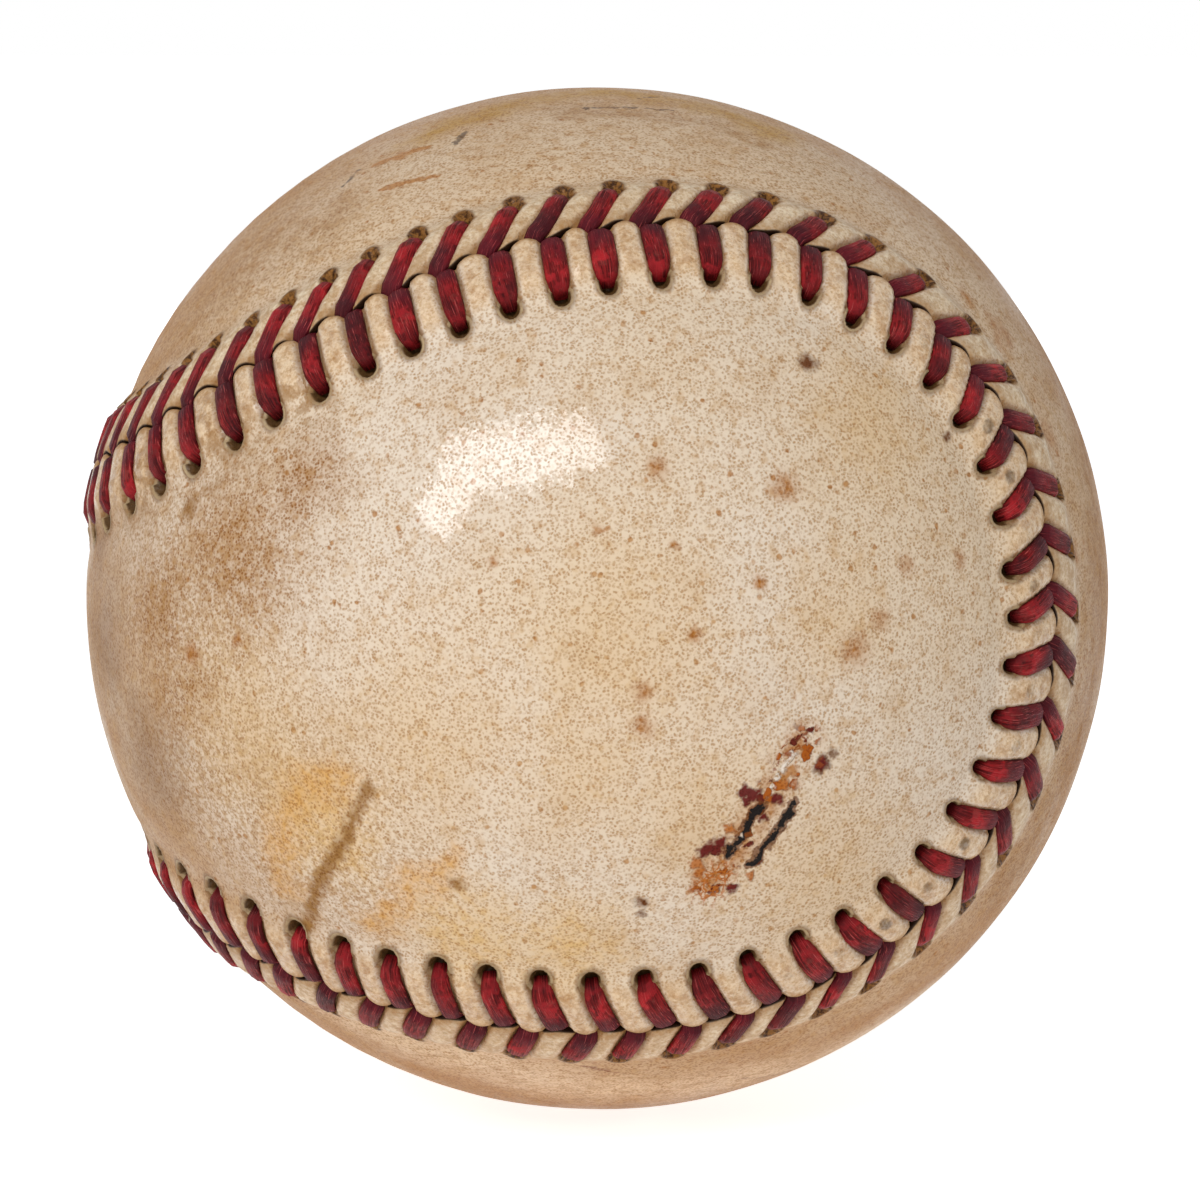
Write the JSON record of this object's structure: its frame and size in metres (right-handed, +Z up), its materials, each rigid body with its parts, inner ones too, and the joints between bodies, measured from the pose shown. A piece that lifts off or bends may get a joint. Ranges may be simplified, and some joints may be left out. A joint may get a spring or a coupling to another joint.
{
  "type": "baseball",
  "caption": "Old sewn leather baseball: cork and rubber core, wound yarn layers, figure-eight leather panels joined by a raised red-stitched seam.",
  "frame": {"origin": "centre of the ball", "axes": "+Z up, with the ball at rest on smooth leather; the lobes of one cover panel face -Y (the front, as pictured) and +Y, the lobes of the other face up and down, and the seam's two-fold axis lies in the XZ plane, 10 degrees from X"},
  "size_m": [0.075, 0.0744, 0.0744],
  "materials": {
    "cork": "ground cork bound with rubber, matte",
    "black_rubber": "moulded rubber, satin",
    "red_rubber": "moulded rubber, satin",
    "grey_wool": "wound wool yarn, matte",
    "white_wool": "wound wool yarn, matte",
    "cotton": "fine wound cotton, matte",
    "cement": "dried cement, satin",
    "leather": "aged cream leather with fine pores, glossy handled surface",
    "thread": "waxed crimson thread, worn and darkened"
  },
  "bodies": {
    "root": {"cork_core": "cork", "black_shell_upper": "black_rubber", "black_shell_lower": "black_rubber", "shell_gasket": "red_rubber", "red_rubber_layer": "red_rubber", "first_winding": "grey_wool", "second_winding": "white_wool", "third_winding": "grey_wool", "finishing_winding": "cotton", "cement_coat": "cement", "cover_panel_front": "leather", "cover_panel_top": "leather", "thread_first_needle": "thread", "thread_second_needle": "thread"}
  },
  "joints": []
}
